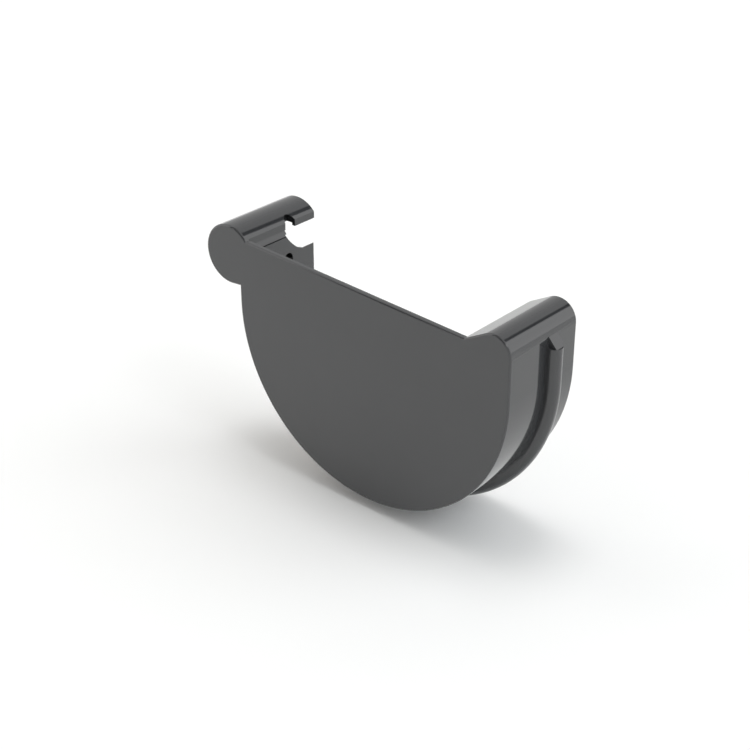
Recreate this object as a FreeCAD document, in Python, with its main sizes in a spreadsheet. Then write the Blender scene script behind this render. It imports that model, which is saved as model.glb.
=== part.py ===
import FreeCAD, Part
import math
import os
import Sketcher

# Gutter end cap: a moulded cap that closes the end of a half-round rain gutter, with its rubber seal.
# X runs across the gutter from the front bead (negative) to the rear wall (positive), Y runs from the
# cap's outer face into the gutter, and Z is up. The origin is the centre of the half-round skirt, on the
# outer face.

SIZES = {
    # Half-round skirt, and the plate that closes it
    "skirt_radius": 65.0,
    "skirt_wall": 3.1,
    "cap_depth": 39.1,
    "plate_thickness": 2.2,
    "plate_edge_round": 0.9,
    # The plate's upper edge rises from the rear shoulder to the bead tube
    "rim_rise_angle": 3.2,
    # Rear shoulder, which is turned in over the gutter's rear edge
    "shoulder_height": 17.9,
    "shoulder_round": 7.7,
    "shoulder_slope": 28.4,
    "shoulder_width": 20.2,
    # Tube round the gutter's front bead, outside the front wall
    "bead_offset": 5.3,
    "bead_height": 18.0,
    "bead_radius": 12.2,
    "bead_wall": 2.2,
    "bead_foot_angle": 4.8,
    # Thin panel that closes the tube's side towards the trough, behind the plate
    "panel_wall": 0.9,
    # Inner lip of the tube, the nose that hangs under it and the slit under the nose
    "lip_overhang": 0.6,
    "lip_rise": 5.4,
    "nose_recess": 0.9,
    "nose_overhang": 0.5,
    "slit_rise": 1.75,
    "slit_gap": 1.65,
    # Round notch in the front wall, the level land behind it and the lip beside its gap
    "notch_length": 16.5,
    "notch_radius": 13.4,
    "notch_rise": 7.5,
    "notch_drop": 5.4,
    "notch_land": 6.8,
    "lip_length": 11.1,
    # Thick core of the lip inside the tube, and the blind gap in the lip
    "core_thickness": 6.0,
    "core_rise": 6.45,
    "gap_depth": 4.3,
    "gap_rise": 7.7,
    # Rubber strip, and its channel in the skirt
    "seal_width": 4.6,
    "seal_rise": 1.0,
    "seal_bevel": 1.3,
    "seal_clearance": 0.1,
    "seal_end_gap": 0.3,
    "seal_setback": 14.6,
    "channel_depth": 4.7,
    "channel_front_height": 10.3,
    "channel_rear_drop": 4.6,
    # Rib round the channel
    "rib_wall": 0.8,
    "rib_rise": 4.4,
    # The rib's rear end: a narrow ledge with a round up to the wall, and a slant beside it
    "rib_height": 14.6,
    "ledge_width": 1.0,
    "ledge_round": 2.0,
    "slant_reach": 3.7,
    "slant_rise": 4.1,
}

# Sizes worked out from the others, as formulas of the sheet
INNER_RADIUS = "sizes.skirt_radius - sizes.skirt_wall"
BEAD_REACH = "sizes.skirt_radius + sizes.bead_offset"
PANEL_BACK = f"{INNER_RADIUS} + sizes.panel_wall"
LIP_FACE = f"{INNER_RADIUS} - sizes.lip_overhang"
LIP_LOW = "sizes.bead_height + sizes.lip_rise"
SLIT_LOW = "sizes.bead_height + sizes.slit_rise"
SOCKET_RADIUS = "sizes.bead_radius - sizes.bead_wall"
SOCKET_START = "sizes.cap_depth - sizes.notch_land"
CORE_ROUND = "sizes.bead_radius - sizes.bead_wall / 2"
NOTCH_START = "sizes.cap_depth - sizes.notch_length"
NOTCH_CENTRE = f"{NOTCH_START} + sizes.notch_radius"
NOTCH_LEVEL = "sizes.bead_height + sizes.notch_rise"
NOTCH_FLOOR = "sizes.bead_height - sizes.notch_drop"
SEAL_LINE = "sizes.cap_depth - sizes.seal_setback"
SEAL_FACE = f"{INNER_RADIUS} - sizes.seal_rise"
SEAL_EDGE = f"{SEAL_FACE} + sizes.seal_bevel"
SEAL_NEAR = f"{SEAL_LINE} - sizes.seal_width / 2"
SEAL_FAR = f"{SEAL_LINE} + sizes.seal_width / 2"
CHANNEL_ROUND = "sizes.seal_width / 2 + sizes.seal_clearance"
CHANNEL_FLOOR = f"{INNER_RADIUS} + sizes.channel_depth"
CHANNEL_REAR = "sizes.rib_height - sizes.channel_rear_drop"
RIB_ROUND = f"{CHANNEL_ROUND} + sizes.rib_wall"
RIB_ROOT = "sizes.skirt_radius - sizes.skirt_wall / 2"
RIB_CROWN = f"sizes.skirt_radius + sizes.rib_rise - ({RIB_ROUND})"
RIB_NEAR = f"{SEAL_LINE} - ({RIB_ROUND})"
RIB_BEYOND = "sizes.skirt_radius + 2 * sizes.rib_rise"
RIB_FRONT = f"sizes.channel_front_height + {RIB_ROUND}"
SLANT_TOP = "sizes.rib_height + sizes.slant_rise"

ROOT = (-1, 1)
START, END, CENTRE = 1, 2, 3

doc = FreeCAD.newDocument("gutter_end_cap")
sheet = doc.addObject("Spreadsheet::Sheet", "sizes")
for row, (alias, value) in enumerate(SIZES.items(), start=1):
    sheet.set(f"A{row}", alias)
    sheet.set(f"B{row}", str(value))
    sheet.setAlias(f"B{row}", alias)
doc.recompute()


def worth(formula):
    """The value of a formula of the sheet, in millimetres or degrees."""
    return float(sheet.evalExpression(formula.replace("sizes.", "")))


def new_body(name):
    """A body whose label names the sub-part."""
    body = doc.addObject("PartDesign::Body", name)
    body.Label = name
    return body


def origin_plane(body, role):
    """One of the body's own origin planes."""
    return next(item for item in body.Origin.OriginFeatures if item.Role == role)


def new_sketch(body, name, role, offset="0"):
    """A sketch on an origin plane, moved along the plane's normal by a formula."""
    sketch = body.newObject("Sketcher::SketchObject", name)
    sketch.AttachmentSupport = [(origin_plane(body, role), "")]
    sketch.MapMode = "FlatFace"
    sketch.setExpression("AttachmentOffset.Base.z", offset)
    return sketch


def add_line(sketch, start, end):
    """A straight edge; its points are a first guess that the constraints settle."""
    return sketch.addGeometry(Part.LineSegment(FreeCAD.Vector(*start, 0), FreeCAD.Vector(*end, 0)))


def add_arc(sketch, centre, radius, first, last):
    """An arc, anticlockwise between two angles in degrees; also a first guess."""
    circle = Part.Circle(FreeCAD.Vector(*centre, 0), FreeCAD.Vector(0, 0, 1), radius)
    return sketch.addGeometry(Part.ArcOfCircle(circle, math.radians(first), math.radians(last)))


def tie(sketch, kind, *where):
    """A constraint without a size."""
    sketch.addConstraint(Sketcher.Constraint(kind, *where))


def drive(sketch, name, formula, kind, *where):
    """A constraint whose size follows a formula of the sheet."""
    value = worth(formula)
    if kind == "Angle":
        value = math.radians(value)
    index = sketch.addConstraint(Sketcher.Constraint(kind, *where, value))
    sketch.renameConstraint(index, name)
    sketch.setExpression(f"Constraints.{name}", formula)


def add_chain(sketch, points, directions):
    """Straight edges end to end, each marked H for level, V for upright or - for slanting."""
    kinds = {"H": "Horizontal", "V": "Vertical"}
    edges = []
    for start, end, direction in zip(points, points[1:], directions):
        edge = add_line(sketch, start, end)
        if edges:
            tie(sketch, "Coincident", edges[-1], END, edge, START)
        if direction in kinds:
            tie(sketch, kinds[direction], edge)
        edges.append(edge)
    return edges


def add_shoulder(sketch, outer, round_radius):
    """A rear wall that turns inwards: upright edge, arc and slope, whose inner end is free."""
    height = worth("sizes.shoulder_height")
    slope = worth("sizes.shoulder_slope")
    centre = (outer - round_radius, height)
    turn = math.radians(90 + slope)
    top = (centre[0] + round_radius * math.cos(turn), centre[1] + round_radius * math.sin(turn))
    run = top[0] - worth("sizes.skirt_radius - sizes.shoulder_width")
    inner = (top[0] - run, top[1] - run * math.tan(math.radians(slope)))
    wall = add_line(sketch, (outer, 0), (outer, height))
    bend = add_arc(sketch, centre, round_radius, 0, 90 + slope)
    lip = add_line(sketch, inner, top)
    tie(sketch, "Vertical", wall)
    tie(sketch, "Tangent", wall, END, bend, START)
    tie(sketch, "Tangent", bend, END, lip, END)
    drive(sketch, "shoulder_height", "sizes.shoulder_height", "DistanceY", *ROOT, bend, CENTRE)
    drive(sketch, "shoulder_slope", "sizes.shoulder_slope", "Angle", lip)
    edge = "sizes.skirt_radius - sizes.shoulder_width"
    drive(sketch, "shoulder_edge", edge, "DistanceX", *ROOT, lip, START)
    return wall, bend, lip, inner


def cap_outline(body):
    """The cap's whole outline: skirt, rear shoulder, rim, bead tube and front wall."""
    sketch = new_sketch(body, "cap_outline", "XZ_Plane")
    radius = worth("sizes.skirt_radius")
    tube = worth("sizes.bead_radius")
    tube_centre = (-worth(BEAD_REACH), worth("sizes.bead_height"))
    foot_turn = math.radians(270 + worth("sizes.bead_foot_angle"))
    foot_start = (tube_centre[0] + tube * math.cos(foot_turn), tube_centre[1] + tube * math.sin(foot_turn))
    foot_run = -radius - foot_start[0]
    foot_end = (-radius, foot_start[1] + foot_run * math.tan(math.radians(worth("sizes.bead_foot_angle"))))

    skirt = add_arc(sketch, (0, 0), radius, 180, 360)
    wall, bend, lip, inner = add_shoulder(sketch, radius, worth("sizes.shoulder_round"))
    rim_rise = math.tan(math.radians(worth("sizes.rim_rise_angle")))
    rim_turn = math.asin((inner[1] + rim_rise * (inner[0] - tube_centre[0]) - tube_centre[1]) / tube)
    rim_start = (tube_centre[0] + tube * math.cos(rim_turn), tube_centre[1] + tube * math.sin(rim_turn))
    rim = add_line(sketch, rim_start, inner)
    bead = add_arc(sketch, tube_centre, tube, math.degrees(rim_turn), math.degrees(foot_turn))
    foot = add_line(sketch, foot_start, foot_end)
    front_wall = add_line(sketch, foot_end, (-radius, 0))

    tie(sketch, "Coincident", skirt, CENTRE, *ROOT)
    tie(sketch, "Tangent", skirt, END, wall, START)
    tie(sketch, "Coincident", lip, START, rim, END)
    tie(sketch, "Coincident", rim, START, bead, START)
    tie(sketch, "Tangent", bead, END, foot, START)
    tie(sketch, "Coincident", foot, END, front_wall, START)
    tie(sketch, "Vertical", front_wall)
    tie(sketch, "Tangent", front_wall, END, skirt, START)
    drive(sketch, "skirt_radius", "sizes.skirt_radius", "Radius", skirt)
    drive(sketch, "shoulder_round", "sizes.shoulder_round", "Radius", bend)
    drive(sketch, "rim_fall", "-sizes.rim_rise_angle", "Angle", rim)
    drive(sketch, "bead_reach", BEAD_REACH, "DistanceX", bead, CENTRE, *ROOT)
    drive(sketch, "bead_height", "sizes.bead_height", "DistanceY", *ROOT, bead, CENTRE)
    drive(sketch, "bead_radius", "sizes.bead_radius", "Radius", bead)
    drive(sketch, "bead_foot_angle", "sizes.bead_foot_angle", "Angle", foot)
    return sketch


def trough_outline(body):
    """The hollow behind the plate, with the lip, the nose and the slit in the front wall."""
    sketch = new_sketch(body, "trough_outline", "XZ_Plane", "-sizes.plate_thickness")
    radius = worth(INNER_RADIUS)
    lip_x, nose_x = -worth(LIP_FACE), -worth(f"{INNER_RADIUS} - sizes.nose_overhang")
    step_x, slit_x = -worth(f"{LIP_FACE} + sizes.nose_recess"), -worth(BEAD_REACH)
    top, lip_z, slit_z = worth("sizes.bead_height + sizes.bead_radius"), worth(LIP_LOW), worth(SLIT_LOW)
    nose_z = slit_z + worth("sizes.slit_gap")

    skirt = add_arc(sketch, (0, 0), radius, 180, 360)
    wall, bend, lip, inner = add_shoulder(sketch, radius, worth("sizes.shoulder_round - sizes.skirt_wall"))
    corners = [
        inner, (inner[0], top), (lip_x, top), (lip_x, lip_z), (step_x, lip_z), (nose_x, nose_z),
        (slit_x, nose_z), (slit_x, slit_z), (-radius, slit_z), (-radius, 0),
    ]
    edges = add_chain(sketch, corners, "VHVH-HVHV")
    mouth, lip_face, lip_under, nose = edges[0], edges[2], edges[3], edges[4]
    slit_end, front_wall = edges[6], edges[8]

    tie(sketch, "Coincident", skirt, CENTRE, *ROOT)
    tie(sketch, "Tangent", skirt, END, wall, START)
    tie(sketch, "Coincident", lip, START, mouth, START)
    tie(sketch, "Tangent", front_wall, END, skirt, START)
    drive(sketch, "inner_radius", INNER_RADIUS, "Radius", skirt)
    drive(sketch, "inner_round", "sizes.shoulder_round - sizes.skirt_wall", "Radius", bend)
    drive(sketch, "mouth_top", "sizes.bead_height + sizes.bead_radius", "DistanceY", *ROOT, mouth, END)
    drive(sketch, "lip_face", LIP_FACE, "DistanceX", lip_face, END, *ROOT)
    drive(sketch, "lip_low", LIP_LOW, "DistanceY", *ROOT, lip_face, END)
    drive(sketch, "nose_recess", "sizes.nose_recess", "DistanceX", lip_under, END, lip_under, START)
    drive(sketch, "nose_face", f"{INNER_RADIUS} - sizes.nose_overhang", "DistanceX", nose, END, *ROOT)
    drive(sketch, "slit_depth", BEAD_REACH, "DistanceX", slit_end, START, *ROOT)
    drive(sketch, "slit_gap", "sizes.slit_gap", "DistanceY", slit_end, END, slit_end, START)
    drive(sketch, "slit_low", SLIT_LOW, "DistanceY", *ROOT, slit_end, END)
    return sketch


def tube_bore(body):
    """The tube's bore behind the plate: a circle cut off by the panel."""
    sketch = new_sketch(body, "tube_bore", "XZ_Plane", "-sizes.plate_thickness")
    centre = (-worth(BEAD_REACH), worth("sizes.bead_height"))
    radius = worth(SOCKET_RADIUS)
    panel_x = -worth(PANEL_BACK)
    turn = math.acos((panel_x - centre[0]) / radius)
    rise = radius * math.sin(turn)
    bore = add_arc(sketch, centre, radius, math.degrees(turn), 360 - math.degrees(turn))
    chord = add_line(sketch, (panel_x, centre[1] - rise), (panel_x, centre[1] + rise))
    tie(sketch, "Coincident", bore, END, chord, START)
    tie(sketch, "Coincident", chord, END, bore, START)
    tie(sketch, "Vertical", chord)
    drive(sketch, "bore_radius", SOCKET_RADIUS, "Radius", bore)
    drive(sketch, "bead_reach", BEAD_REACH, "DistanceX", bore, CENTRE, *ROOT)
    drive(sketch, "bead_height", "sizes.bead_height", "DistanceY", *ROOT, bore, CENTRE)
    drive(sketch, "panel_back", PANEL_BACK, "DistanceX", chord, START, *ROOT)
    return sketch


def circle_sketch(body, name, role, offset, radius, across, along):
    """One circle, with its radius and its distances from the origin as formulas."""
    sketch = new_sketch(body, name, role, offset)
    centre = FreeCAD.Vector(worth(across), worth(along), 0)
    circle = sketch.addGeometry(Part.Circle(centre, FreeCAD.Vector(0, 0, 1), worth(radius)))
    drive(sketch, "radius", radius, "Radius", circle)
    if centre.x > 0:
        drive(sketch, "across", across, "DistanceX", *ROOT, circle, CENTRE)
    else:
        drive(sketch, "across", f"-({across})", "DistanceX", circle, CENTRE, *ROOT)
    drive(sketch, "along", along, "DistanceY", *ROOT, circle, CENTRE)
    return sketch


def core_outline(body):
    """The lip's thick core: a flat underside and a round back that lies within the tube's wall."""
    sketch = new_sketch(body, "core_outline", "XZ_Plane", "-sizes.plate_thickness / 2")
    centre = (-worth(BEAD_REACH), worth("sizes.bead_height"))
    low = worth("sizes.bead_height + sizes.core_rise")
    back = f"{LIP_FACE} + sizes.core_thickness"
    front_x, back_x, radius = -worth(INNER_RADIUS), -worth(back), worth(CORE_ROUND)
    first, last = math.acos((front_x - centre[0]) / radius), math.acos((back_x - centre[0]) / radius)
    front_z, back_z = centre[1] + radius * math.sin(first), centre[1] + radius * math.sin(last)
    bend = add_arc(sketch, centre, radius, math.degrees(first), math.degrees(last))
    edges = add_chain(sketch, [(back_x, back_z), (back_x, low), (front_x, low), (front_x, front_z)], "VHV")
    tie(sketch, "Coincident", bend, END, edges[0], START)
    tie(sketch, "Coincident", edges[-1], END, bend, START)
    drive(sketch, "radius", CORE_ROUND, "Radius", bend)
    drive(sketch, "bead_reach", BEAD_REACH, "DistanceX", bend, CENTRE, *ROOT)
    drive(sketch, "bead_height", "sizes.bead_height", "DistanceY", *ROOT, bend, CENTRE)
    drive(sketch, "back", back, "DistanceX", edges[0], START, *ROOT)
    drive(sketch, "low", "sizes.bead_height + sizes.core_rise", "DistanceY", *ROOT, edges[1], START)
    drive(sketch, "front", INNER_RADIUS, "DistanceX", edges[2], START, *ROOT)
    return sketch


def notch_outline(body):
    """Side view of the notch under the lip: a round down to the level land."""
    sketch = new_sketch(body, "notch_outline", "YZ_Plane", f"-({LIP_FACE})")
    level, floor, lip_z = worth(NOTCH_LEVEL), worth(NOTCH_FLOOR), worth(LIP_LOW)
    radius, depth, centre_y = worth("sizes.notch_radius"), worth("sizes.cap_depth"), worth(NOTCH_CENTRE)
    first, last = math.asin((level - lip_z) / radius), math.asin((level - floor) / radius)
    start_y, land_y = centre_y - radius * math.cos(first), centre_y - radius * math.cos(last)
    curve = add_arc(sketch, (centre_y, level), radius, 180 + math.degrees(first), 180 + math.degrees(last))
    edges = add_chain(sketch, [(land_y, floor), (depth, floor), (depth, lip_z), (start_y, lip_z)], "HVH")
    tie(sketch, "Coincident", curve, END, edges[0], START)
    tie(sketch, "Coincident", edges[-1], END, curve, START)
    drive(sketch, "notch_radius", "sizes.notch_radius", "Radius", curve)
    drive(sketch, "notch_centre", NOTCH_CENTRE, "DistanceX", *ROOT, curve, CENTRE)
    drive(sketch, "notch_level", NOTCH_LEVEL, "DistanceY", *ROOT, curve, CENTRE)
    drive(sketch, "notch_floor", NOTCH_FLOOR, "DistanceY", *ROOT, edges[0], START)
    drive(sketch, "open_end", "sizes.cap_depth", "DistanceX", *ROOT, edges[1], START)
    drive(sketch, "lip_low", LIP_LOW, "DistanceY", *ROOT, edges[2], START)
    return sketch


def gap_outline(body):
    """Side view of the blind gap in the lip, which has a round top."""
    sketch = new_sketch(body, "gap_outline", "YZ_Plane", f"-({LIP_FACE})")
    start, end, low = worth(NOTCH_START), worth("sizes.cap_depth - sizes.lip_length"), worth(LIP_LOW)
    radius, level = (end - start) / 2, worth("sizes.bead_height + sizes.gap_rise")
    top = add_arc(sketch, (start + radius, level), radius, 0, 180)
    edges = add_chain(sketch, [(start, level), (start, low), (end, low), (end, level)], "VHV")
    tie(sketch, "Tangent", top, END, edges[0], START)
    tie(sketch, "Tangent", edges[-1], END, top, START)
    drive(sketch, "gap_level", "sizes.bead_height + sizes.gap_rise", "DistanceY", *ROOT, top, CENTRE)
    drive(sketch, "gap_start", NOTCH_START, "DistanceX", *ROOT, edges[0], START)
    drive(sketch, "lip_low", LIP_LOW, "DistanceY", *ROOT, edges[1], START)
    drive(sketch, "lip_start", "sizes.cap_depth - sizes.lip_length", "DistanceX", *ROOT, edges[2], START)
    return sketch


def ring_path(body, name, rear_end, front_end):
    """The line of the seal: down the rear wall, round the skirt and up the front wall."""
    sketch = new_sketch(body, name, "XZ_Plane", f"-({SEAL_LINE})")
    radius = worth("sizes.skirt_radius")
    rear = add_line(sketch, (radius, worth(rear_end)), (radius, 0))
    ring = add_arc(sketch, (0, 0), radius, 180, 360)
    front = add_line(sketch, (-radius, 0), (-radius, worth(front_end)))
    tie(sketch, "Coincident", ring, CENTRE, *ROOT)
    tie(sketch, "Vertical", rear)
    tie(sketch, "Vertical", front)
    tie(sketch, "Tangent", rear, END, ring, END)
    tie(sketch, "Tangent", ring, START, front, START)
    drive(sketch, "ring_radius", "sizes.skirt_radius", "Radius", ring)
    drive(sketch, "rear_end", rear_end, "DistanceY", *ROOT, rear, START)
    drive(sketch, "front_end", front_end, "DistanceY", *ROOT, front, END)
    return sketch


def rib_section(body):
    """The rib's section: flat sides out of the wall, and a half round beyond them."""
    sketch = new_sketch(body, "rib_section", "XY_Plane", SLANT_TOP)
    middle, radius, root_x, crown_x = worth(SEAL_LINE), worth(RIB_ROUND), worth(RIB_ROOT), worth(RIB_CROWN)
    near_y, far_y = middle - radius, middle + radius
    crown = add_arc(sketch, (crown_x, middle), radius, -90, 90)
    corners = [(crown_x, far_y), (root_x, far_y), (root_x, near_y), (crown_x, near_y)]
    edges = add_chain(sketch, corners, "HVH")
    tie(sketch, "Tangent", crown, END, edges[0], START)
    tie(sketch, "Tangent", edges[-1], END, crown, START)
    drive(sketch, "radius", RIB_ROUND, "Radius", crown)
    drive(sketch, "crown", RIB_CROWN, "DistanceX", *ROOT, crown, CENTRE)
    drive(sketch, "middle", SEAL_LINE, "DistanceY", *ROOT, crown, CENTRE)
    drive(sketch, "root", RIB_ROOT, "DistanceX", *ROOT, edges[1], START)
    return sketch


def channel_section(body):
    """The channel's section: flat sides and a flat floor."""
    sketch = new_sketch(body, "channel_section", "XY_Plane", CHANNEL_REAR)
    near, far = f"{SEAL_LINE} - ({CHANNEL_ROUND})", f"{SEAL_LINE} + {CHANNEL_ROUND}"
    mouth_x, floor_x = worth(SEAL_FACE), worth(CHANNEL_FLOOR)
    near_y, far_y = worth(near), worth(far)
    corners = [(mouth_x, near_y), (floor_x, near_y), (floor_x, far_y), (mouth_x, far_y), (mouth_x, near_y)]
    edges = add_chain(sketch, corners, "HVHV")
    tie(sketch, "Coincident", edges[-1], END, edges[0], START)
    drive(sketch, "mouth", SEAL_FACE, "DistanceX", *ROOT, edges[0], START)
    drive(sketch, "floor", CHANNEL_FLOOR, "DistanceX", *ROOT, edges[1], START)
    drive(sketch, "near_side", near, "DistanceY", *ROOT, edges[0], START)
    drive(sketch, "far_side", far, "DistanceY", *ROOT, edges[2], START)
    return sketch


def seal_section(body, rear_end):
    """The rubber strip's section: a flat root and sides, and a bevelled face towards the trough."""
    sketch = new_sketch(body, "seal_section", "XY_Plane", rear_end)
    root = f"{CHANNEL_FLOOR} - sizes.seal_clearance"
    near_bevel, far_bevel = f"{SEAL_NEAR} + sizes.seal_bevel", f"{SEAL_FAR} - sizes.seal_bevel"
    root_x, edge_x, face_x = worth(root), worth(SEAL_EDGE), worth(SEAL_FACE)
    near_y, far_y = worth(SEAL_NEAR), worth(SEAL_FAR)
    corners = [
        (root_x, near_y), (edge_x, near_y), (face_x, worth(near_bevel)), (face_x, worth(far_bevel)),
        (edge_x, far_y), (root_x, far_y), (root_x, near_y),
    ]
    edges = add_chain(sketch, corners, "H-V-HV")
    tie(sketch, "Coincident", edges[-1], END, edges[0], START)
    drive(sketch, "root", root, "DistanceX", *ROOT, edges[0], START)
    drive(sketch, "near_edge", SEAL_EDGE, "DistanceX", *ROOT, edges[1], START)
    drive(sketch, "face", SEAL_FACE, "DistanceX", *ROOT, edges[2], START)
    drive(sketch, "far_edge", SEAL_EDGE, "DistanceX", *ROOT, edges[4], START)
    drive(sketch, "near_side", SEAL_NEAR, "DistanceY", *ROOT, edges[0], START)
    drive(sketch, "near_bevel", near_bevel, "DistanceY", *ROOT, edges[2], START)
    drive(sketch, "far_bevel", far_bevel, "DistanceY", *ROOT, edges[3], START)
    drive(sketch, "far_side", SEAL_FAR, "DistanceY", *ROOT, edges[4], START)
    return sketch


def ledge_outline(body):
    """What is cut over the ledge at the rib's rear end, with a round up to the wall."""
    sketch = new_sketch(body, "ledge_outline", "XZ_Plane")
    wall, level, radius = worth("sizes.skirt_radius"), worth("sizes.rib_height"), worth("sizes.ledge_round")
    beyond, top = worth(RIB_BEYOND), worth(SLANT_TOP)
    bend = add_arc(sketch, (wall + radius, level + radius), radius, 180, 270)
    corners = [(wall + radius, level), (beyond, level), (beyond, top), (wall, top), (wall, level + radius)]
    edges = add_chain(sketch, corners, "HVHV")
    tie(sketch, "Tangent", bend, END, edges[0], START)
    tie(sketch, "Tangent", edges[-1], END, bend, START)
    drive(sketch, "radius", "sizes.ledge_round", "Radius", bend)
    drive(sketch, "level", "sizes.rib_height", "DistanceY", *ROOT, edges[0], START)
    drive(sketch, "beyond", RIB_BEYOND, "DistanceX", *ROOT, edges[1], START)
    drive(sketch, "top", SLANT_TOP, "DistanceY", *ROOT, edges[2], START)
    drive(sketch, "wall", "sizes.skirt_radius", "DistanceX", *ROOT, edges[3], START)
    return sketch


def slant_outline(body):
    """What is cut from the rib's rear end to leave a slant from the wall out to the crown."""
    sketch = new_sketch(body, "slant_outline", "XZ_Plane")
    wall, level, top = worth("sizes.skirt_radius"), worth("sizes.rib_height"), worth(SLANT_TOP)
    outer, beyond = wall + worth("sizes.slant_reach"), worth(RIB_BEYOND)
    corners = [(wall, top), (outer, level), (beyond, level), (beyond, top), (wall, top)]
    edges = add_chain(sketch, corners, "-HVH")
    tie(sketch, "Coincident", edges[-1], END, edges[0], START)
    drive(sketch, "wall", "sizes.skirt_radius", "DistanceX", *ROOT, edges[0], START)
    drive(sketch, "top", SLANT_TOP, "DistanceY", *ROOT, edges[0], START)
    drive(sketch, "reach", "sizes.skirt_radius + sizes.slant_reach", "DistanceX", *ROOT, edges[1], START)
    drive(sketch, "level", "sizes.rib_height", "DistanceY", *ROOT, edges[1], START)
    drive(sketch, "beyond", RIB_BEYOND, "DistanceX", *ROOT, edges[2], START)
    return sketch


def pad(body, name, sketch, length):
    """Material from the sketch towards the open end of the cap."""
    feature = body.newObject("PartDesign::Pad", name)
    feature.Profile = sketch
    feature.Reversed = True
    feature.setExpression("Length", length)
    return feature


def pocket(body, name, sketch, length):
    """A cut from the sketch, against its normal."""
    feature = body.newObject("PartDesign::Pocket", name)
    feature.Profile = sketch
    feature.setExpression("Length", length)
    return feature


def ring_pipe(body, kind, name, section, rear_end, front_end):
    """A section taken along the seal's line, between two heights."""
    path = ring_path(body, f"{name}_path", rear_end, front_end)
    feature = body.newObject(f"PartDesign::{kind}Pipe", name)
    feature.Profile = section
    feature.Spine = (path, ["Edge1", "Edge2", "Edge3"])
    return feature


def round_plate_edge(body, base):
    """Round the edges of the outer face."""
    doc.recompute()
    edges = [
        f"Edge{index}"
        for index, edge in enumerate(base.Shape.Edges, start=1)
        if edge.BoundBox.YMax < 1e-6
    ]
    feature = body.newObject("PartDesign::Fillet", "plate_edge")
    feature.Base = (base, edges)
    feature.setExpression("Radius", "sizes.plate_edge_round")
    return feature


def make_end_cap():
    """The moulded cap, from the solid outline to the last cut."""
    body = new_body("end_cap")
    blank = pad(body, "blank", cap_outline(body), "sizes.cap_depth")
    round_plate_edge(body, blank)

    pocket(body, "bore", tube_bore(body), f"{SOCKET_START} - sizes.plate_thickness")
    socket_circle = circle_sketch(
        body, "socket_circle", "XZ_Plane", f"-({SOCKET_START})", SOCKET_RADIUS, f"-({BEAD_REACH})",
        "sizes.bead_height"
    )
    pocket(body, "socket", socket_circle, "sizes.notch_land")
    pad(body, "lip_core", core_outline(body), "sizes.cap_depth - sizes.plate_thickness / 2")

    ring_pipe(body, "Additive", "rib", rib_section(body), SLANT_TOP, RIB_FRONT)
    pocket(body, "ledge", ledge_outline(body), f"{RIB_NEAR} + sizes.ledge_width")
    pocket(body, "slant", slant_outline(body), "sizes.cap_depth")

    pocket(body, "trough", trough_outline(body), "sizes.cap_depth - sizes.plate_thickness")
    pocket(body, "notch", notch_outline(body), f"{BEAD_REACH} - ({LIP_FACE})")
    pocket(body, "lip_gap", gap_outline(body), "sizes.gap_depth")

    front_height = "sizes.channel_front_height"
    ring_pipe(body, "Subtractive", "channel", channel_section(body), CHANNEL_REAR, front_height)
    channel_ends = {
        "channel_rear_end": (CHANNEL_FLOOR, CHANNEL_REAR),
        "channel_front_end": (f"-({SEAL_FACE})", front_height),
    }
    for name, (start, height) in channel_ends.items():
        circle = circle_sketch(body, f"{name}_circle", "YZ_Plane", start, CHANNEL_ROUND, SEAL_LINE, height)
        pocket(body, name, circle, f"{CHANNEL_FLOOR} - ({SEAL_FACE})")
    return body


def make_rubber_seal():
    """The rubber strip that lies in the channel and ends short of it."""
    body = new_body("rubber_seal")
    rear_end = f"{CHANNEL_REAR} - sizes.seal_end_gap"
    front_end = "sizes.channel_front_height - sizes.seal_end_gap"
    ring_pipe(body, "Additive", "strip", seal_section(body, rear_end), rear_end, front_end)
    return body


def check(parts):
    """Stop if an object of the document failed, or a sub-part has no valid shape."""
    for item in doc.Objects:
        if "Invalid" in item.State or "Error" in item.State:
            raise RuntimeError(f"{item.Name} did not build: {item.State}")
    for part in parts:
        if part.Shape.isNull() or not part.Shape.isValid():
            raise RuntimeError(f"{part.Label} has no valid shape")


PARTS = [make_end_cap(), make_rubber_seal()]
doc.recompute()
check(PARTS)
os.makedirs("parts", exist_ok=True)
for sub_part in PARTS:
    sub_part.Shape.exportStep(f"parts/{sub_part.Label}.step")
    print(sub_part.Label, "volume", round(sub_part.Shape.Volume, 1), "solids", len(sub_part.Shape.Solids))
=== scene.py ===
"""A gutter end cap of dark moulded plastic on a plain white floor, seen from the photograph's viewing angle."""
import math

import bpy
from mathutils import Matrix, Vector


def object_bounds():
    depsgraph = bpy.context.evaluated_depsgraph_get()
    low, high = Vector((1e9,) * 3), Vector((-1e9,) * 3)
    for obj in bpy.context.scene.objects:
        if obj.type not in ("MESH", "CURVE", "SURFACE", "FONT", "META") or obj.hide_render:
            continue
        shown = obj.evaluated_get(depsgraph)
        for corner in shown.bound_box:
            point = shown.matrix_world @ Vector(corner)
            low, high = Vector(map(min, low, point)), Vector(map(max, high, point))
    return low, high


# Camera, from the photograph: the direction it looks from in degrees, its focal length in pixels of an image of
# IMAGE_SIZE, and its distance and its shift to the right and up in metres
IMAGE_SIZE = 750
SENSOR_WIDTH = 36.0
CAMERA_AZIMUTH = math.radians(40.79)
CAMERA_ELEVATION = math.radians(28.53)
FOCAL_PIXELS = 1542.0
CAMERA_DISTANCE = 0.5665
CAMERA_RIGHT = 0.00349
CAMERA_UP = -0.00904
CLIP_NEAR = 0.01
CLIP_FAR = 100

# Floor: a wide matt sheet under the lowest point of the cap, a little brighter to the camera and in mirrors
FLOOR_SIZE = 12.0
FLOOR_COLOUR = 0.86
FLOOR_GAIN = 1.16
FLOOR_GLOSS_GAIN = 1.17

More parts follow.
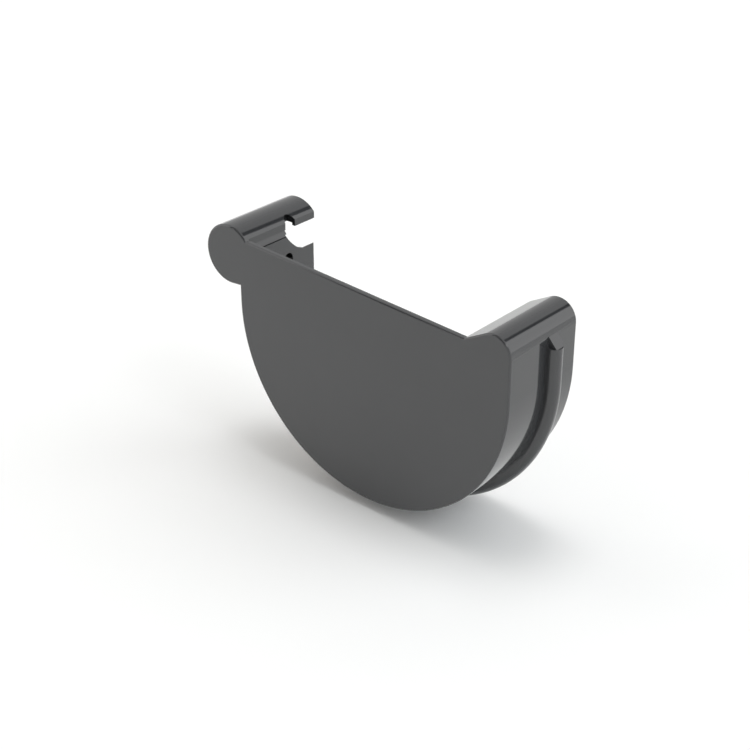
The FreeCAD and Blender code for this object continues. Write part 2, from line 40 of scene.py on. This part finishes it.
# Studio: a pale room, brighter at the back on the right, with a dark slot that runs askew across its ceiling.
# The right side has its full level from RIGHT_BACK towards the back. The slot's edges are slopes, across over
# height, and HORIZON is the least height that they are taken from
ROOM_LEVEL = 0.83
RIGHT_LEVEL = 1.65
RIGHT_BACK = 0.3
SLOT_SKEW = 0.586
SLOT_LOW = -0.405
SLOT_HIGH = -0.17
SLOT_SOFT = 0.03
HORIZON = 0.001

# The least level of the room to the camera, which makes it plain white
BACKDROP_LEVEL = 1.1

# The room's tint, which mirrors leave out, so that only shadows show it: faintly warm on the left, cool on the right
LEFT_TINT = (1.0, 0.972, 0.925, 1)
RIGHT_TINT = (0.948, 0.98, 1.0, 1)
TINT_REACH = 0.4
WHITE = (1, 1, 1, 1)

# Round patches of the room: direction, cosines of the inner and the outer reach, and factor of the level inside
FRONT_WALL = ((-0.65, -0.60, 0.45), 0.95, 0.60, 1.8)
CAMERA_STAND = ((0.05, -0.69, 0.72), 0.92, 0.86, 0.05)
WINDOW = ((0.70, -0.10, 0.70), 0.992, 0.982, 5.0)

# Soft lamp overhead: its strength, its angular size and the direction it shines from
OVERHEAD_LEVEL = 0.6
OVERHEAD_SIZE = math.radians(23.0)
OVERHEAD_DIRECTION = (-0.11, 0.10, 1.0)

# The middle of a noise's range, which is stretched over the whole range of what it drives
NOISE_LOW = 0.3
NOISE_HIGH = 0.7

# Plastic: colour and its darkest and lightest factor, roughness from low to high, IOR, scale and detail of its
# broad and its fine noise, and distance and strength of its bump
CAP_COLOUR = (0.036, 0.037, 0.039)
CAP_SHADES = (0.95, 1.05)
CAP_ROUGHNESS = (0.0595, 0.0805)
CAP_IOR = 1.65
CAP_FLOW = (22, 3)
CAP_SKIN = (2200, 2)
CAP_BUMP = (0.00002, 0.25)

# Rubber, in the same order
SEAL_COLOUR = (0.012, 0.012, 0.012)
SEAL_SHADES = (0.85, 1.2)
SEAL_ROUGHNESS = (0.5, 0.65)
SEAL_IOR = 1.5
SEAL_BLOOM = (60, 3)
SEAL_GRAIN = (3500, 3)
SEAL_BUMP = (0.00008, 0.5)


def link(tree, source, output, target, socket):
    """Join one node's output to another's input."""
    tree.links.new(source.outputs[output], target.inputs[socket])


def add_node(tree, kind, **values):
    """A shader node with its properties set."""
    node = tree.nodes.new(kind)
    for name, value in values.items():
        setattr(node, name, value)
    return node


def add_math(tree, operation, first, second):
    """A maths node; each input is a number or a (node, output) pair."""
    node = add_node(tree, "ShaderNodeMath", operation=operation)
    for index, value in enumerate((first, second)):
        if isinstance(value, tuple):
            link(tree, *value, node, index)
        else:
            node.inputs[index].default_value = value
    return node


def ramp(tree, source, low, high, bottom=0.0, top=1.0):
    """A (node, output) value that runs from the bottom at low to the top at high, and no further."""
    ranged = add_node(tree, "ShaderNodeMapRange")
    ranged.inputs["From Min"].default_value = low
    ranged.inputs["From Max"].default_value = high
    ranged.inputs["To Min"].default_value = bottom
    ranged.inputs["To Max"].default_value = top
    link(tree, *source, ranged, "Value")
    return ranged, "Result"


def new_material(name):
    """An empty node material: the material, its tree and its Principled shader."""
    material = bpy.data.materials.new(name)
    material.use_nodes = True
    tree = material.node_tree
    tree.nodes.clear()
    shader = add_node(tree, "ShaderNodeBsdfPrincipled")
    output = add_node(tree, "ShaderNodeOutputMaterial")
    link(tree, shader, "BSDF", output, "Surface")
    return material, tree, shader


def add_noise(tree, coordinates, scale, detail):
    """Three-dimensional noise in the object's own metres."""
    noise = add_node(tree, "ShaderNodeTexNoise")
    noise.inputs["Scale"].default_value = scale
    noise.inputs["Detail"].default_value = detail
    link(tree, coordinates, "Object", noise, "Vector")
    return noise


def spread(tree, noise, low, high):
    """A (node, output) value: the noise stretched between two values."""
    return ramp(tree, (noise, "Fac"), NOISE_LOW, NOISE_HIGH, low, high)


def tint(tree, noise, colour, low, high):
    """The colour made a little darker or lighter by noise."""
    shades = add_node(tree, "ShaderNodeValToRGB")
    for element, place, factor in zip(shades.color_ramp.elements, (NOISE_LOW, NOISE_HIGH), (low, high)):
        element.position = place
        element.color = (*(channel * factor for channel in colour), 1)
    link(tree, noise, "Fac", shades, "Fac")
    return shades


def add_bump(tree, noise, distance, strength):
    """A bump from noise."""
    bump = add_node(tree, "ShaderNodeBump")
    bump.inputs["Distance"].default_value = distance
    bump.inputs["Strength"].default_value = strength
    link(tree, noise, "Fac", bump, "Height")
    return bump


def varied(name, colour, shades, roughness, ior, broad, fine, bump):
    """A material whose broad noise varies its colour and roughness, and whose fine noise is its bump."""
    material, tree, shader = new_material(name)
    coordinates = add_node(tree, "ShaderNodeTexCoord")
    broad_noise = add_noise(tree, coordinates, *broad)
    fine_noise = add_noise(tree, coordinates, *fine)
    link(tree, tint(tree, broad_noise, colour, *shades), "Color", shader, "Base Color")
    link(tree, *spread(tree, broad_noise, *roughness), shader, "Roughness")
    shader.inputs["IOR"].default_value = ior
    link(tree, add_bump(tree, fine_noise, *bump), "Normal", shader, "Normal")
    return material


def cap_plastic():
    """Dark moulded plastic, glossy, with a faint flow in its colour and a fine skin."""
    return varied("cap_plastic", CAP_COLOUR, CAP_SHADES, CAP_ROUGHNESS, CAP_IOR, CAP_FLOW, CAP_SKIN, CAP_BUMP)


def seal_rubber():
    """Matt black rubber with a fine grain."""
    return varied("seal_rubber", SEAL_COLOUR, SEAL_SHADES, SEAL_ROUGHNESS, SEAL_IOR, SEAL_BLOOM, SEAL_GRAIN, SEAL_BUMP)


def dress(piece, material):
    """Give a carried-over piece its material."""
    piece.data.materials.clear()
    piece.data.materials.append(material)


def add_floor(height):
    """The floor: plain white to the camera and in mirrors, with the cap's shadow on it."""
    material, tree, shader = new_material("floor")
    shader.inputs["Roughness"].default_value = 1.0
    shader.inputs["Specular IOR Level"].default_value = 0.0
    path = add_node(tree, "ShaderNodeLightPath")
    seen = add_math(tree, "MULTIPLY", (path, "Is Camera Ray"), (FLOOR_GAIN - 1) * FLOOR_COLOUR)
    mirrored = add_math(tree, "MULTIPLY", (path, "Is Glossy Ray"), (FLOOR_GLOSS_GAIN - 1) * FLOOR_COLOUR)
    extra = add_math(tree, "ADD", (seen, 0), (mirrored, 0))
    colour = add_math(tree, "ADD", (extra, 0), FLOOR_COLOUR)
    link(tree, colour, "Value", shader, "Base Color")

    half = FLOOR_SIZE / 2
    corners = [(-half, -half, 0), (half, -half, 0), (half, half, 0), (-half, half, 0)]
    mesh = bpy.data.meshes.new("floor")
    mesh.from_pydata(corners, [], [(0, 1, 2, 3)])
    floor = bpy.data.objects.new("floor", mesh)
    floor.location.z = height
    floor.data.materials.append(material)
    bpy.context.scene.collection.objects.link(floor)


def add_patch(tree, direction, level, patch):
    """The room's level with a round patch of it made brighter or darker."""
    centre, inner, outer, gain = patch
    nearness = add_node(tree, "ShaderNodeVectorMath", operation="DOT_PRODUCT")
    link(tree, direction, "Generated", nearness, 0)
    nearness.inputs[1].default_value = Vector(centre).normalized()
    return add_math(tree, "MULTIPLY", (level, 0), ramp(tree, (nearness, "Value"), inner, outer, gain))


def add_tint(tree, across, path):
    """The room's tint from left to right, which mirrors leave out."""
    tints = add_node(tree, "ShaderNodeValToRGB")
    tints.color_ramp.elements[0].color = LEFT_TINT
    tints.color_ramp.elements[1].color = RIGHT_TINT
    link(tree, *ramp(tree, across, -TINT_REACH, TINT_REACH), tints, "Fac")
    mirrored = add_node(tree, "ShaderNodeMixRGB")
    mirrored.inputs["Color2"].default_value = WHITE
    link(tree, path, "Is Glossy Ray", mirrored, "Fac")
    link(tree, tints, "Color", mirrored, "Color1")
    return mirrored


def add_room():
    """A pale room with a dark slot in its ceiling and a few patches, plain white to the camera."""
    world = bpy.data.worlds.new("room")
    bpy.context.scene.world = world
    world.use_nodes = True
    tree = world.node_tree
    tree.nodes.clear()
    background = add_node(tree, "ShaderNodeBackground")
    output = add_node(tree, "ShaderNodeOutputWorld")
    link(tree, background, "Background", output, "Surface")

    direction = add_node(tree, "ShaderNodeTexCoord")
    parts = add_node(tree, "ShaderNodeSeparateXYZ")
    link(tree, direction, "Generated", parts, "Vector")
    height = add_math(tree, "MAXIMUM", (parts, "Z"), HORIZON)
    skew = add_math(tree, "MULTIPLY", (parts, "Y"), SLOT_SKEW)
    across = add_math(tree, "SUBTRACT", (parts, "X"), (skew, 0))
    lean = add_math(tree, "DIVIDE", (across, 0), (height, 0))
    half = SLOT_SOFT / 2
    left = ramp(tree, (lean, 0), SLOT_LOW + half, SLOT_LOW - half, 0.0, ROOM_LEVEL)
    beyond = ramp(tree, (lean, 0), SLOT_HIGH - half, SLOT_HIGH + half)
    glow = ramp(tree, (parts, "Y"), 0.0, RIGHT_BACK, ROOM_LEVEL, RIGHT_LEVEL)
    right = add_math(tree, "MULTIPLY", beyond, glow)
    level = add_math(tree, "ADD", left, (right, 0))
    for patch in (FRONT_WALL, CAMERA_STAND, WINDOW):
        level = add_patch(tree, direction, level, patch)

    path = add_node(tree, "ShaderNodeLightPath")
    backdrop = add_math(tree, "MULTIPLY", (path, "Is Camera Ray"), BACKDROP_LEVEL)
    shown = add_math(tree, "MAXIMUM", (level, 0), (backdrop, 0))
    link(tree, shown, "Value", background, "Strength")
    link(tree, add_tint(tree, (parts, "X"), path), "Color", background, "Color")


def add_overhead():
    """A wide, soft lamp overhead, so far away that the floor is evenly lit, and left out of mirrors."""
    data = bpy.data.lights.new("overhead", "SUN")
    data.energy = OVERHEAD_LEVEL
    data.angle = OVERHEAD_SIZE
    lamp = bpy.data.objects.new("overhead", data)
    lamp.rotation_euler = Vector(OVERHEAD_DIRECTION).to_track_quat("Z", "Y").to_euler()
    lamp.visible_glossy = False
    bpy.context.scene.collection.objects.link(lamp)


def add_camera():
    """The camera at the photograph's viewing angle."""
    azimuth, elevation = CAMERA_AZIMUTH, CAMERA_ELEVATION
    right = Vector((math.cos(azimuth), math.sin(azimuth), 0))
    back = Vector((
        math.sin(azimuth) * math.cos(elevation), -math.cos(azimuth) * math.cos(elevation), math.sin(elevation)
    ))
    up = back.cross(right)
    data = bpy.data.cameras.new("camera")
    data.sensor_width = SENSOR_WIDTH
    data.lens = FOCAL_PIXELS / IMAGE_SIZE * SENSOR_WIDTH
    data.clip_start = CLIP_NEAR
    data.clip_end = CLIP_FAR
    camera = bpy.data.objects.new("camera", data)
    place = right * CAMERA_RIGHT + up * CAMERA_UP + back * CAMERA_DISTANCE
    camera.matrix_world = Matrix.Translation(place) @ Matrix((right, up, back)).transposed().to_4x4()
    bpy.context.scene.collection.objects.link(camera)
    bpy.context.scene.camera = camera


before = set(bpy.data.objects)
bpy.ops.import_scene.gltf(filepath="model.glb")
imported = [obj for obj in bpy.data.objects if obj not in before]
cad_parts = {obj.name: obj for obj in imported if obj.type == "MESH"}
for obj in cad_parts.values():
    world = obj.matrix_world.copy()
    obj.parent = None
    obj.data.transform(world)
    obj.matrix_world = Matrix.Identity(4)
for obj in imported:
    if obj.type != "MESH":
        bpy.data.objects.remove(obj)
cad_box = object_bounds()
dress(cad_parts["end_cap"], cap_plastic())
dress(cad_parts["rubber_seal"], seal_rubber())

lowest = cad_box[0][2]
add_floor(lowest)
add_room()
add_overhead()
add_camera()
bpy.context.scene.view_settings.view_transform = "Standard"
